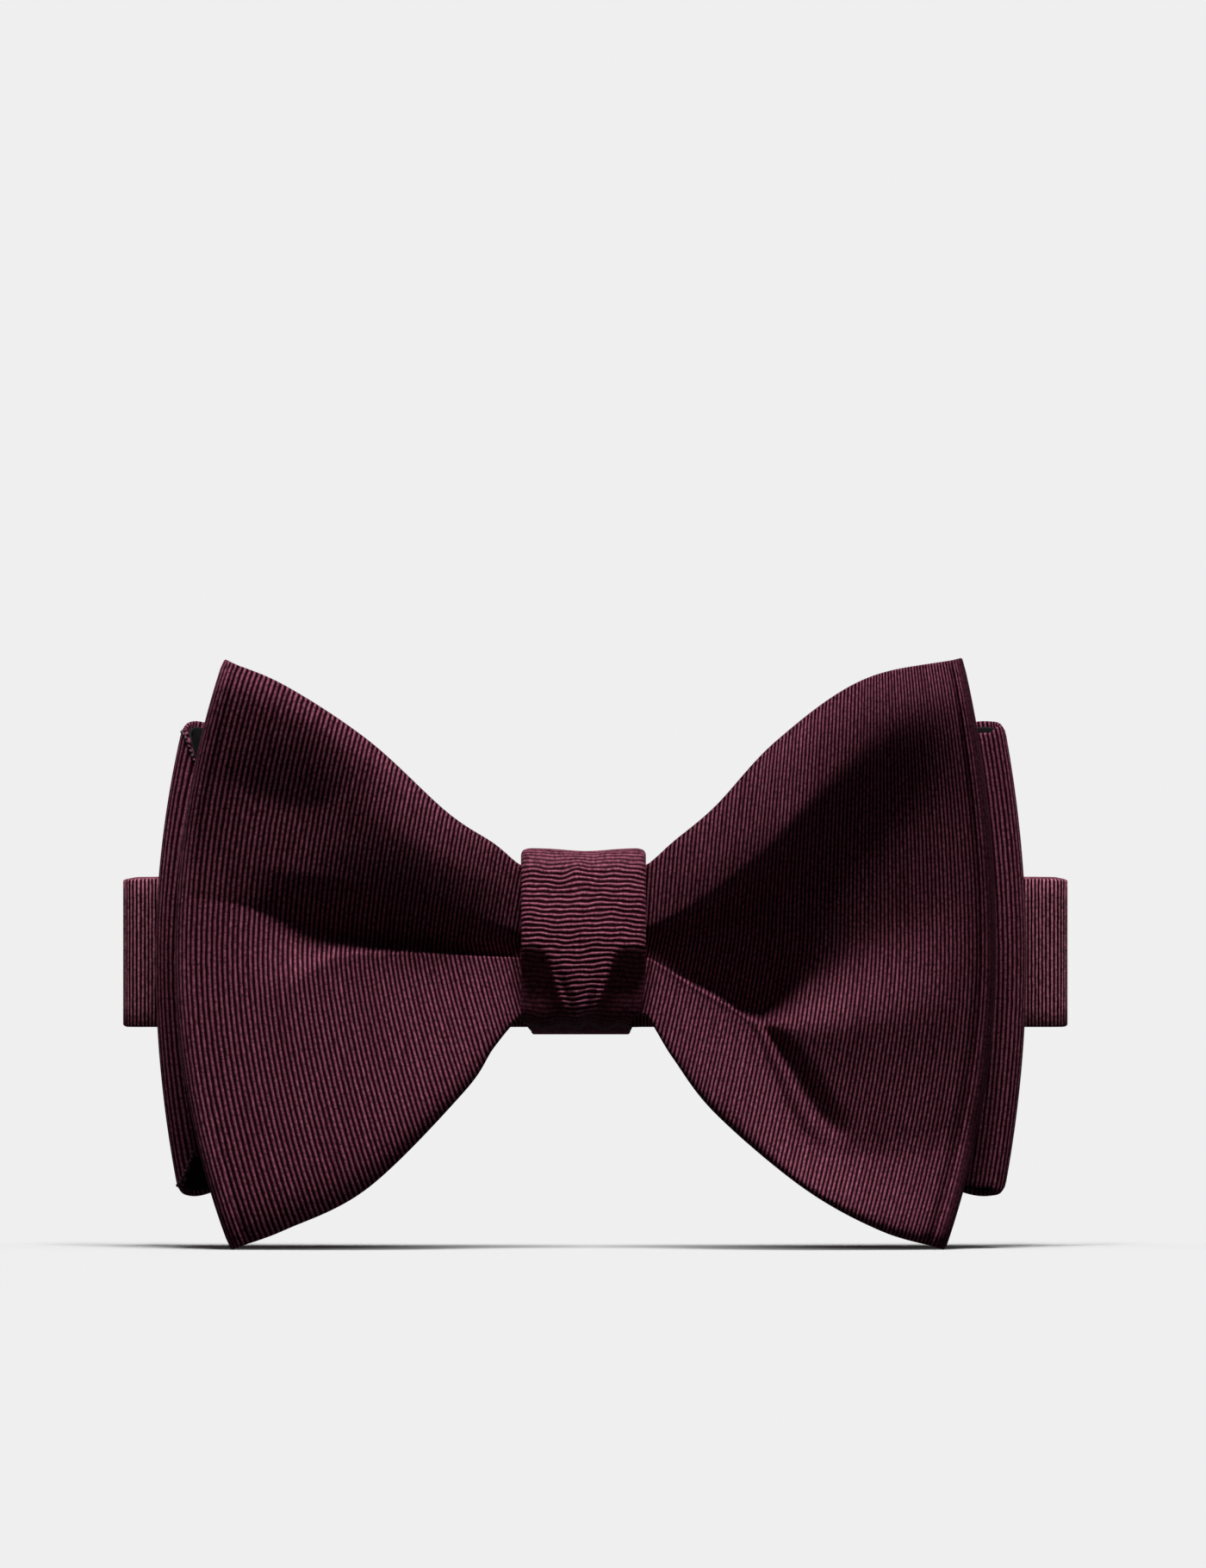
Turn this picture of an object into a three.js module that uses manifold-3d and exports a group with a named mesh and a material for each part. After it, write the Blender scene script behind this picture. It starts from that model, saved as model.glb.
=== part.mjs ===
// A ready-tied butterfly bow tie: four looped silk wings with interlining, bound at the waist and
// wrapped by a knot band, on an adjustable neckband that closes behind the neck with a hook and ring.
// Millimetres. +X to the right seen from the front, +Z up, -Y towards the viewer.
// The origin is the middle of the knot's back face, where it lies on the front of the collar.
import * as THREE from "three";
import { mergeVertices } from "three/addons/utils/BufferGeometryUtils.js";
import Module from "manifold-3d";

const wasm = await Module();
wasm.setup();

// Cloth
const GAP = 0.3;
const SILK = 0.6;
const INTERLINING = 0.5;

// Wings: each is a loop of silk, open at its top and bottom, folded at its outer edge.
const FOLD_RADIUS = 2.2;
const FOLD_TURN = 0.12; // share of the loop's drawing range that the outer fold takes
const WAIST_START = 6;
const WING_COLUMNS = 24;
const WING_ROWS = 10;

// Knot
const KNOT_CENTRE_X = -1;
const KNOT_WIDTH = 16.8;
const KNOT_TOP = 14.1;
const KNOT_BOTTOM = -11;
const KNOT_FRONT = -16.4;
const KNOT_BULGE = 1.1;
const KNOT_SILK = 0.7;
const KNOT_LINING_WIDTH = 13.6;
const KNOT_BACK_ROUND = 0.6;
const TUNNEL_TOP = 11.1;
const STITCH_THICKNESS = 0.5;

// Neckband
const BAND_CENTRE_X = 0.6;
const BAND_SPREAD = 127.6;
const BAND_WIDTH = 20;
const BAND_THICKNESS = 1.2;
const BAND_FRONT_Y = -1.6;
const BAND_BACK_Y = 87;
const FRONT_CORNER = 2.4;
const REAR_CORNER = 31.4;

// Clasp and adjuster
const METAL = 1;
const STRAP_FOLD_GAP = 1.8;
const HARDWARE_HEIGHT = 22;
const WINDOW_HEIGHT = 20.5;
const BAR_REACH = 2.4;
const HOOK_PIVOT_X = 2;
const RING_PIVOT_X = 20.1;
const SLIDER_X = -19;
const SLIDER_LENGTH = 12;
const WINDOW_CORNER = 0.6;
// Drawn from the bar at x = 0: the plate's ends and corners, where its slot ends, and where and how
// wide its tongue curls back, leaving a gap for the ring's bar.
const HOOK = { left: -0.8, right: 6.6, corner: 3, slotEnd: 4, curlX: 11.4, tongueWidth: 9, gap: 4 };
const RING = { left: -8.1, right: 0.6, rim: 1.4, corner: 1.2 };
const SLIDER = { clear: 0.4, wall: 0.9, corner: 1.5, outerBar: 1.8, middleBar: 2.4 };

const X_AXIS = new THREE.Vector3(1, 0, 0);
const Y_AXIS = new THREE.Vector3(0, 1, 0);
const Z_AXIS = new THREE.Vector3(0, 0, 1);

// ---------------------------------------------------------------- materials

function silk() {
  return new THREE.MeshStandardMaterial({ color: 0x4a2031, roughness: 0.5, metalness: 0 });
}

function canvas() {
  return new THREE.MeshStandardMaterial({ color: 0x241f22, roughness: 0.95, metalness: 0 });
}

function thread() {
  return new THREE.MeshStandardMaterial({ color: 0x2c1420, roughness: 0.7, metalness: 0 });
}

function nickel() {
  return new THREE.MeshStandardMaterial({ color: 0xb9b6b0, roughness: 0.25, metalness: 1 });
}

// ---------------------------------------------------------------- solids

function toManifold(geometry) {
  const bare = geometry.clone();
  bare.deleteAttribute("normal");
  bare.deleteAttribute("uv");
  const merged = mergeVertices(bare);
  const mesh = new wasm.Mesh({
    numProp: 3,
    vertProperties: new Float32Array(merged.attributes.position.array),
    triVerts: new Uint32Array(merged.index.array),
  });
  return new wasm.Manifold(mesh);
}

function toGeometry(manifold) {
  const mesh = manifold.getMesh();
  const geometry = new THREE.BufferGeometry();
  geometry.setAttribute("position", new THREE.BufferAttribute(mesh.vertProperties, 3));
  geometry.setIndex(new THREE.BufferAttribute(mesh.triVerts, 1));
  geometry.computeVertexNormals();
  return geometry;
}

function signedVolume(geometry) {
  const corners = [new THREE.Vector3(), new THREE.Vector3(), new THREE.Vector3()];
  const { index, attributes } = geometry;
  let volume = 0;
  for (let i = 0; i < index.count; i += 3) {
    corners.forEach((corner, k) => corner.fromBufferAttribute(attributes.position, index.getX(i + k)));
    volume += corners[0].dot(corners[1].cross(corners[2])) / 6;
  }
  return volume;
}

function facingOut(geometry) {
  if (signedVolume(geometry) < 0) {
    geometry.index.array.reverse();
  }
  geometry.computeVertexNormals();
  return geometry;
}

function box(lowX, highX, lowY, highY, lowZ, highZ) {
  const geometry = new THREE.BoxGeometry(highX - lowX, highY - lowY, highZ - lowZ);
  geometry.translate((lowX + highX) / 2, (lowY + highY) / 2, (lowZ + highZ) / 2);
  return geometry;
}

// A shape drawn in X and Y, standing up along Z about z = 0.
function prismAlongZ(shape, height) {
  const geometry = new THREE.ExtrudeGeometry(shape, { depth: height, bevelEnabled: false });
  return geometry.translate(0, 0, -height / 2);
}

// A shape drawn in Y and Z, lying along X about x = 0.
function prismAlongX(shape, length) {
  const geometry = new THREE.ExtrudeGeometry(shape, { depth: length, bevelEnabled: false });
  geometry.translate(0, 0, -length / 2);
  return geometry.applyMatrix4(new THREE.Matrix4().makeBasis(Y_AXIS, Z_AXIS, X_AXIS));
}

// A shape drawn in X and Z, with its thickness along Y about y = 0.
function plate(shape, thickness) {
  const geometry = new THREE.ExtrudeGeometry(shape, { depth: thickness, bevelEnabled: false });
  geometry.translate(0, 0, -thickness / 2);
  return geometry.applyMatrix4(new THREE.Matrix4().makeBasis(X_AXIS, Z_AXIS, Y_AXIS.clone().negate()));
}

function roundedRectangle(lowA, highA, lowB, highB, radius) {
  const shape = new THREE.Shape();
  shape.moveTo(lowA + radius, lowB);
  shape.absarc(highA - radius, lowB + radius, radius, -Math.PI / 2, 0, false);
  shape.absarc(highA - radius, highB - radius, radius, 0, Math.PI / 2, false);
  shape.absarc(lowA + radius, highB - radius, radius, Math.PI / 2, Math.PI, false);
  shape.absarc(lowA + radius, lowB + radius, radius, Math.PI, Math.PI * 1.5, false);
  return shape;
}

function withHole(outer, inner) {
  const shape = new THREE.Shape(outer.getPoints(6));
  shape.holes.push(new THREE.Path(inner.getPoints(6)));
  return shape;
}

// The outline of a strip of even thickness along an open path.
function stripOutline(path, thickness) {
  const line = path.getPoints(7).filter((point, i, all) => i === 0 || point.distanceTo(all[i - 1]) > 0.01);
  const sides = [1, -1].map((side) => line.map((point, i) => {
    const before = line[Math.max(i - 1, 0)];
    const after = line[Math.min(i + 1, line.length - 1)];
    const along = after.clone().sub(before).normalize();
    return new THREE.Vector2(-along.y, along.x).multiplyScalar(side * thickness / 2).add(point);
  }));
  return new THREE.Shape([...sides[1], ...sides[0].reverse()]);
}

// ---------------------------------------------------------------- wings

// Edges run from the waist to the tips, as [distance out from the knot's centre, height].
const WINGS = {
  front_left: {
    side: -1,
    top: [[6, 11.2], [8.6, 12], [12, 14.8], [18.3, 19], [28.8, 28.6], [40, 36], [48.3, 39.5]],
    bottom: [[6, -8], [8.6, -8.7], [12, -12.6], [16, -18.5], [28.8, -31.3], [40, -37], [47.4, -39.7]],
    reach: 54.9,
    waist: [-13.4, -10.3],
    outer: [-15.8, -11.4],
    lobe: 4,
    backBulge: 0,
  },
  front_right: {
    side: 1,
    top: [[6, 11.2], [8.6, 12], [12, 15], [17.7, 19.8], [25.9, 28.6], [37.5, 36.8], [50.9, 39.7]],
    bottom: [[6, -8], [8.6, -8.7], [12, -14], [17.7, -21.4], [29.4, -31.3], [39.8, -37.1], [48.6, -39.7]],
    reach: 55.5,
    waist: [-13.4, -10.3],
    outer: [-15.8, -11.4],
    lobe: 4,
    backBulge: 0,
  },
  rear_left: {
    side: -1,
    top: [[6, 10.6], [8.6, 11], [22, 16], [38, 26], [54, 31.2]],
    bottom: [[6, -8], [8.6, -8.6], [22, -15], [38, -26.5], [54.6, -32.6]],
    reach: 57.6,
    waist: [-9.9, -6.8],
    outer: [-10.6, -6.2],
    lobe: 0,
    backBulge: 2.4,
  },
  rear_right: {
    side: 1,
    top: [[6, 10.6], [8.6, 11], [22, 16], [38, 26], [56.7, 31.2]],
    bottom: [[6, -8], [8.6, -8.6], [22, -15], [38, -26.5], [56.7, -32.6]],
    reach: 59.6,
    waist: [-9.9, -6.8],
    outer: [-10.6, -6.2],
    lobe: 0,
    backBulge: 2.4,
  },
};

function edgeCurve(points) {
  return new THREE.SplineCurve(points.map(([out, height]) => new THREE.Vector2(out, height)));
}

// A point on a wing's outer face. along goes 0 to 1 from the waist, round the fold at the outer edge
// and back to the waist behind; across goes -1 at the bottom edge to 1 at the top edge.
function wingPoint(wing, along, across) {
  const foldShare = FOLD_RADIUS / (wing.reach - WAIST_START);
  const flat = 1 - foldShare;
  const behind = along > 0.5;
  const fromWaist = behind ? 1 - along : along;
  const onFold = fromWaist > 0.5 - FOLD_TURN / 2;
  const angle = onFold ? (fromWaist - 0.5 + FOLD_TURN / 2) / (FOLD_TURN / 2) * Math.PI / 2 : 0;
  const out = onFold ? flat + foldShare * Math.sin(angle) : flat * fromWaist / (0.5 - FOLD_TURN / 2);
  const top = wing.topCurve.getPointAt(out);
  const bottom = wing.bottomCurve.getPointAt(out);
  const share = (across + 1) / 2;
  const tipReach = THREE.MathUtils.lerp(wing.bottomCurve.getPointAt(1).x, wing.topCurve.getPointAt(1).x, share);
  const bow = (wing.reach - tipReach) * (1 - across ** 2) * out ** 3;
  const x = THREE.MathUtils.lerp(bottom.x, top.x, share) + bow;
  const z = THREE.MathUtils.lerp(bottom.y, top.y, share);
  const wave = Math.sin(Math.PI * across) ** 2;
  const swell = Math.sin(Math.PI * Math.min(out / flat, 1));
  const frontY = THREE.MathUtils.lerp(wing.waist[0], wing.outer[0], out / flat) - wing.lobe * wave * swell;
  const backY = THREE.MathUtils.lerp(wing.waist[1], wing.outer[1], out / flat) + wing.backBulge * swell;
  let y = behind ? backY : frontY;
  if (onFold) {
    const middle = (wing.outer[0] + wing.outer[1]) / 2;
    y = middle + (behind ? 1 : -1) * FOLD_RADIUS * Math.cos(angle);
  }
  return new THREE.Vector3(wing.side * x, y, z);
}

function wingNormal(wing, along, across) {
  const step = 1e-3;
  const clampAlong = (value) => THREE.MathUtils.clamp(value, 0, 1);
  const alongEdge = wingPoint(wing, clampAlong(along + step), across);
  alongEdge.sub(wingPoint(wing, clampAlong(along - step), across));
  const acrossEdge = wingPoint(wing, along, across + step).sub(wingPoint(wing, along, across - step));
  const normal = alongEdge.cross(acrossEdge).normalize();
  return normal.multiplyScalar(wing.side);
}

// One layer of a wing, from a depth below its outer face to another.
function wingLayer(wing, outerDepth, innerDepth) {
  const geometry = new THREE.BoxGeometry(1, 1, 1, WING_COLUMNS, 1, WING_ROWS);
  const position = geometry.attributes.position;
  for (let i = 0; i < position.count; i += 1) {
    const along = position.getX(i) + 0.5;
    const across = position.getZ(i) * 2;
    const depth = position.getY(i) > 0 ? outerDepth : innerDepth;
    const point = wingPoint(wing, along, across);
    point.addScaledVector(wingNormal(wing, along, across), -depth);
    position.setXYZ(i, point.x, point.y, point.z);
  }
  return facingOut(geometry);
}

// ---------------------------------------------------------------- knot

// The knot's section in Y and Z, moved in from the outer face by an inset.
function knotSection(inset) {
  const back = -inset;
  const top = KNOT_TOP - inset;
  const bottom = KNOT_BOTTOM + inset;
  const front = KNOT_FRONT + inset;
  const tunnel = TUNNEL_TOP - inset;
  const shape = new THREE.Shape();
  shape.moveTo(back, bottom + KNOT_BACK_ROUND);
  shape.lineTo(back, tunnel - KNOT_BACK_ROUND);
  shape.quadraticCurveTo(back, tunnel, back - KNOT_BACK_ROUND, tunnel);
  shape.lineTo(-3.4, tunnel);
  shape.lineTo(-6.5, top);
  shape.lineTo(front + 4, top);
  shape.quadraticCurveTo(front, top, front, top - 4);
  shape.quadraticCurveTo(front - 2 * KNOT_BULGE, (top + bottom) / 2, front, bottom + 4);
  shape.quadraticCurveTo(front, bottom, front + 4, bottom);
  shape.lineTo(back - KNOT_BACK_ROUND, bottom);
  shape.quadraticCurveTo(back, bottom, back, bottom + KNOT_BACK_ROUND);
  return shape;
}

function knotRing(outerInset, innerInset, length) {
  return prismAlongX(withHole(knotSection(outerInset), knotSection(innerInset)), length);
}

function knotLining() {
  const ring = toManifold(knotRing(KNOT_SILK + GAP, KNOT_SILK + GAP + INTERLINING, KNOT_LINING_WIDTH));
  const frontHalf = toManifold(box(-KNOT_WIDTH, KNOT_WIDTH, KNOT_FRONT, -7.5, -2 * KNOT_TOP, 2 * KNOT_TOP));
  return toGeometry(ring.intersect(frontHalf));
}

const CORE = { front: -12.6, back: -6.2, bottom: -7, top: 10.4, round: 3, length: 10.4 };
const BINDING = { thickness: 0.8, length: 4 };

function coreSection(grow) {
  const { back, front, bottom, top, round } = CORE;
  return roundedRectangle(front - grow, back + grow, bottom - grow, top + grow, round + grow);
}

// ---------------------------------------------------------------- neckband

const OUTER_LEFT = -BAND_SPREAD / 2 + BAND_THICKNESS / 2;
const CORNER_END_Y = BAND_FRONT_Y + FRONT_CORNER;
const STRAP_FOLD = (STRAP_FOLD_GAP + BAND_THICKNESS) / 2;
const STRAP_LAYER = BAND_THICKNESS + GAP;

function frontRun() {
  const path = new THREE.Path();
  path.moveTo(OUTER_LEFT, CORNER_END_Y);
  path.absarc(OUTER_LEFT + FRONT_CORNER, CORNER_END_Y, FRONT_CORNER, Math.PI, Math.PI * 1.5, false);
  path.absarc(-OUTER_LEFT - FRONT_CORNER, CORNER_END_Y, FRONT_CORNER, Math.PI * 1.5, Math.PI * 2, false);
  return path;
}

// An arm for one side: back from the corner, round the neck, through the fitting and folded back.
// Places along the strap are measured from the middle of the band, away from the arm's own side.
function armPath(foldAt, closedAt, tailAt) {
  const path = new THREE.Path();
  path.moveTo(OUTER_LEFT, CORNER_END_Y + GAP);
  path.lineTo(OUTER_LEFT, BAND_BACK_Y - REAR_CORNER);
  path.absarc(OUTER_LEFT + REAR_CORNER, BAND_BACK_Y - REAR_CORNER, REAR_CORNER, Math.PI, Math.PI / 2, true);
  path.lineTo(foldAt, BAND_BACK_Y);
  path.absarc(foldAt, BAND_BACK_Y + STRAP_FOLD, STRAP_FOLD, -Math.PI / 2, Math.PI / 2, false);
  path.lineTo(foldAt - BAR_REACH, BAND_BACK_Y + 2 * STRAP_FOLD);
  path.lineTo(closedAt, BAND_BACK_Y + STRAP_LAYER);
  path.lineTo(tailAt, BAND_BACK_Y + STRAP_LAYER);
  return path;
}

// side is 1 for the left arm as drawn, and -1 for its mirror image.
function arm(side, foldAt, closedAt, tailAt) {
  const path = armPath(side * foldAt, side * closedAt, side * tailAt);
  const geometry = prismAlongZ(stripOutline(path, BAND_THICKNESS), BAND_WIDTH);
  return side > 0 ? geometry : facingOut(mergeVertices(geometry.scale(-1, 1, 1)));
}

// ---------------------------------------------------------------- clasp

const CLASP_Y = BAND_BACK_Y + STRAP_FOLD;

// The hook, drawn about the bar that its strap folds round: a slotted plate whose tongue curls back.
function hook() {
  const half = HARDWARE_HEIGHT / 2;
  const { left, right, corner, slotEnd, curlX, tongueWidth, gap } = HOOK;
  const outline = new THREE.Shape();
  outline.moveTo(left, -half);
  outline.lineTo(right - corner * 0.7, -half);
  outline.quadraticCurveTo(right, -half, right, -half + corner);
  outline.lineTo(right, half - corner);
  outline.quadraticCurveTo(right, half, right - corner * 0.7, half);
  outline.lineTo(left, half);
  outline.closePath();
  const slot = roundedRectangle(-left, slotEnd, -WINDOW_HEIGHT / 2, WINDOW_HEIGHT / 2, WINDOW_CORNER);
  const frame = toManifold(plate(withHole(outline, slot), METAL));
  const bend = (gap + METAL) / 2;
  const tongue = new THREE.Path();
  tongue.moveTo(slotEnd + 1, 0);
  tongue.lineTo(curlX - 4, 0);
  tongue.lineTo(curlX - 2.2, bend);
  tongue.lineTo(curlX, bend);
  tongue.absarc(curlX, 0, bend, Math.PI / 2, -Math.PI / 2, true);
  tongue.lineTo(curlX - 2.4, -bend);
  const curl = toManifold(prismAlongZ(stripOutline(tongue, METAL), tongueWidth));
  return toGeometry(frame.add(curl));
}

// The ring, drawn about the bar that its strap folds round.
function ring() {
  const half = HARDWARE_HEIGHT / 2;
  const { left, right, rim, corner } = RING;
  const outer = roundedRectangle(left, right, -half, half, corner);
  const inner = roundedRectangle(left + rim, -right, -WINDOW_HEIGHT / 2, WINDOW_HEIGHT / 2, WINDOW_CORNER);
  return plate(withHole(outer, inner), METAL);
}

// The slider, drawn about its middle: two outer bars cross behind the straps and one bar in front.
function slider() {
  const half = SLIDER_LENGTH / 2;
  const { clear, wall, corner, outerBar, middleBar } = SLIDER;
  const inside = -BAND_THICKNESS / 2 - clear;
  const outside = BAND_THICKNESS / 2 + STRAP_LAYER + clear;
  const outline = roundedRectangle(-half, half, -HARDWARE_HEIGHT / 2, HARDWARE_HEIGHT / 2, corner);
  const block = plate(outline, outside - inside + 2 * wall);
  block.translate(0, (outside + inside) / 2, 0);
  const tall = WINDOW_HEIGHT / 2;
  const far = 2 * half;
  const passage = toManifold(box(-far, far, inside, outside, -tall, tall));
  const backWindow = toManifold(box(-half + outerBar, half - outerBar, outside - clear, far, -tall, tall));
  const leftWindow = toManifold(box(-far, -middleBar / 2, -far, inside + clear, -tall, tall));
  const rightWindow = toManifold(box(middleBar / 2, far, -far, inside + clear, -tall, tall));
  const cut = passage.add(backWindow).add(leftWindow).add(rightWindow);
  return toGeometry(toManifold(block).subtract(cut));
}

function stitchPad(length, height, thickness) {
  const shape = roundedRectangle(-length / 2, length / 2, -height / 2, height / 2, length / 3);
  return plate(shape, thickness);
}

// ---------------------------------------------------------------- assembly

function part(name, geometry, material, x = 0, y = 0, z = 0) {
  const mesh = new THREE.Mesh(geometry, material);
  mesh.name = name;
  mesh.position.set(x, y, z);
  return mesh;
}

const bow = new THREE.Group();
bow.position.x = KNOT_CENTRE_X;
for (const [place, shape] of Object.entries(WINGS)) {
  const wing = { ...shape, topCurve: edgeCurve(shape.top), bottomCurve: edgeCurve(shape.bottom) };
  bow.add(part(`${place}_wing`, wingLayer(wing, 0, SILK), silk()));
  bow.add(part(`${place}_interlining`, wingLayer(wing, SILK + GAP, SILK + GAP + INTERLINING), canvas()));
}
const bindingRing = withHole(coreSection(GAP + BINDING.thickness), coreSection(GAP));
bow.add(part("gathered_waist", prismAlongX(coreSection(0), CORE.length), silk()));
bow.add(part("waist_binding", prismAlongX(bindingRing, BINDING.length), thread()));
bow.add(part("knot_band", knotRing(0, KNOT_SILK, KNOT_WIDTH), silk()));
bow.add(part("knot_interlining", knotLining(), canvas()));
const closingSeam = stitchPad(1.2, 12, STITCH_THICKNESS).rotateY(Math.PI / 2).rotateX(Math.PI / 2);
const closingSeamZ = KNOT_BOTTOM - GAP - STITCH_THICKNESS / 2;
bow.add(part("knot_closing_stitches", closingSeam, thread(), 0, -4, closingSeamZ));

const neckband = new THREE.Group();
neckband.position.x = BAND_CENTRE_X;
const leftFold = HOOK_PIVOT_X - BAND_CENTRE_X + 0.6;
const rightFold = RING_PIVOT_X - BAND_CENTRE_X - 0.4;
neckband.add(part("neckband_front", prismAlongZ(stripOutline(frontRun(), BAND_THICKNESS), BAND_WIDTH), silk()));
neckband.add(part("neckband_left", arm(1, leftFold, leftFold - 5.2, -30), silk()));
neckband.add(part("neckband_right", arm(-1, rightFold, rightFold + 5.2, 30), silk()));

const clasp = new THREE.Group();
clasp.position.y = CLASP_Y;
const tailFaceY = BAND_BACK_Y + STRAP_LAYER + BAND_THICKNESS / 2 - CLASP_Y;
clasp.add(part("hook", hook(), nickel(), HOOK_PIVOT_X));
clasp.add(part("eye_ring", ring(), nickel(), RING_PIVOT_X));
clasp.add(part("slider", slider(), nickel(), SLIDER_X, BAND_BACK_Y - CLASP_Y));
const tackY = tailFaceY + GAP + STITCH_THICKNESS / 2;
clasp.add(part("ring_bar_tack", stitchPad(1.4, 15, STITCH_THICKNESS), thread(), 27, tackY));
clasp.add(part("tail_bar_tack", stitchPad(1.4, 15, STITCH_THICKNESS), thread(), -28, tackY));

const bowTie = new THREE.Group();
bowTie.add(bow, neckband, clasp);

export default bowTie;
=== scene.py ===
import math

import bmesh
import bpy
import numpy as np
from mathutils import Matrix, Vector


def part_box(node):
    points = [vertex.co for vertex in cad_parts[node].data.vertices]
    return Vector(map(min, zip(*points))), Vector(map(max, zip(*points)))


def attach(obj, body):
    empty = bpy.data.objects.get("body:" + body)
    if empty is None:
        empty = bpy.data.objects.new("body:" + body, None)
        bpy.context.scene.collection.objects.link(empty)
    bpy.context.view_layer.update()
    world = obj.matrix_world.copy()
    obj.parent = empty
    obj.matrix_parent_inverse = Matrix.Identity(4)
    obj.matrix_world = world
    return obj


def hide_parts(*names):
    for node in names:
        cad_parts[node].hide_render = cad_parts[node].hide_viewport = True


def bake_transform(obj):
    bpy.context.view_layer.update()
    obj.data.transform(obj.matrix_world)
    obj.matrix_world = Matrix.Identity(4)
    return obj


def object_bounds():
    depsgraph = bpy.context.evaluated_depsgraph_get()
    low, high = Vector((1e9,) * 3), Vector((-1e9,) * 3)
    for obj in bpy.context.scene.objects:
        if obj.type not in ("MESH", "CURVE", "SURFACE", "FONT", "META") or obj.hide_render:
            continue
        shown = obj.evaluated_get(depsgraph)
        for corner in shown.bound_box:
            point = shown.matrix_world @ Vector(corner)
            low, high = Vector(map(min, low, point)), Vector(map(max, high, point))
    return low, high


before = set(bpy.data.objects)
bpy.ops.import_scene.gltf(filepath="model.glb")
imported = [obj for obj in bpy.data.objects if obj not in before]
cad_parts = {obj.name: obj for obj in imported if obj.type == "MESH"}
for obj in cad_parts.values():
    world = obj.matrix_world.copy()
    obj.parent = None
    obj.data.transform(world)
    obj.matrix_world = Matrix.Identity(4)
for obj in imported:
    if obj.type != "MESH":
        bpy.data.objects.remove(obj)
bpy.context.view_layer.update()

MM = 0.001

# Cloth, in millimetres. Faille is a plain weave whose thick weft yarns stand up as round ribs.
SILK = 0.6
CANVAS_FACE = 0.72
INTERLINING = 0.45
PLY = CANVAS_FACE + INTERLINING
RIB_HEIGHT = 0.15
LEFT_WING_RIB = 0.62
RIGHT_WING_RIB = 0.54
KNOT_RIB = 0.69
BAND_RIB = 0.48
ROWS_ACROSS = 96
STEPS_A_RIB = 4


# ---------------------------------------------------------------- numbers and curves

def smooth(x):
    x = np.clip(x, 0.0, 1.0)
    return x * x * (3.0 - 2.0 * x)


def curve_through(points, count=200):
    """Catmull-Rom samples through a few given points."""
    p = np.array(points, float)
    p = np.vstack([2 * p[0] - p[1], p, 2 * p[-1] - p[-2]])
    t = np.linspace(0, len(points) - 1 - 1e-9, count)
    i = t.astype(int)
    f = (t - i)[:, None]
    a, b, c, d = p[i], p[i + 1], p[i + 2], p[i + 3]
    return 0.5 * (2 * b + (c - a) * f + (2 * a - 5 * b + 4 * c - d) * f ** 2
                  + (3 * b - a - 3 * c + d) * f ** 3)


def from_line(points, x, z):
    """(share along the line, signed distance, positive on its left) for every x, z."""
    line = curve_through(points, 90)
    step = np.diff(line, axis=0)
    step = np.vstack([step, step[-1:]])
    step /= np.linalg.norm(step, axis=1)[:, None]
    dx = x[..., None] - line[:, 0]
    dz = z[..., None] - line[:, 1]
    nearest = np.argmin(dx * dx + dz * dz, axis=-1)
    px = np.take_along_axis(dx, nearest[..., None], -1)[..., 0]
    pz = np.take_along_axis(dz, nearest[..., None], -1)[..., 0]
    side = np.sign(step[nearest, 0] * pz - step[nearest, 1] * px)
    return nearest / (len(line) - 1.0), side * np.hypot(px, pz)


def by_share(share, *stops):
    """A value that changes smoothly through evenly spaced stops as share goes from 0 to 1."""
    samples = curve_through([(i, s) for i, s in enumerate(stops)], 120)
    return np.interp(share * (len(stops) - 1), samples[:, 0], samples[:, 1])


def groove(points, x, z, depth, soft, crisp):
    """A crease along a line: it falls away gently on the line's left and sharply on its right."""
    share, off = from_line(points, x, z)
    width = np.where(off > 0, by_share(share, *soft), by_share(share, *crisp))
    rise = np.clip(1.0 - np.abs(off) / width, 0.0, 1.0)
    return -by_share(share, *depth) * np.where(off > 0, rise * (0.55 + 0.45 * rise), rise ** 1.6)


# ---------------------------------------------------------------- meshes

def mesh_from_grid(name, grid, material, closed_along=False, cloth=None):
    """A closed skin from a grid of points in millimetres [along, around], closed around."""
    n, m = grid.shape[:2]
    index = np.arange(n * m).reshape(n, m)
    nxt = np.roll(index, -1, axis=1)
    if closed_along:
        a, b = index, np.roll(index, -1, axis=0)
        c, d = np.roll(nxt, -1, axis=0), nxt
    else:
        a, b, c, d = index[:-1], index[1:], nxt[1:], nxt[:-1]
    quads = np.stack([a, b, c, d], axis=-1).reshape(-1, 4)
    faces = quads.tolist()
    if not closed_along:
        faces += [index[0].tolist(), index[-1][::-1].tolist()]
    points = grid.reshape(-1, 3) * MM
    p = points[quads]
    volume = np.einsum("ij,ij->i", p[:, 0], np.cross(p[:, 1], p[:, 2])).sum()
    volume += np.einsum("ij,ij->i", p[:, 0], np.cross(p[:, 2], p[:, 3])).sum()
    if volume < 0:
        faces = [f[::-1] for f in faces]
    mesh = bpy.data.meshes.new(name)
    mesh.from_pydata(points.tolist(), [], faces)
    mesh.polygons.foreach_set("use_smooth", [True] * len(mesh.polygons))
    if cloth is not None:
        layer = mesh.attributes.new("cloth", "FLOAT_VECTOR", "POINT")
        layer.data.foreach_set("vector", cloth.reshape(-1).astype(np.float32))
    mesh.materials.append(material)
    mesh.update()
    obj = bpy.data.objects.new(name, mesh)
    bpy.context.scene.collection.objects.link(obj)
    return obj


# ---------------------------------------------------------------- materials

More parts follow.
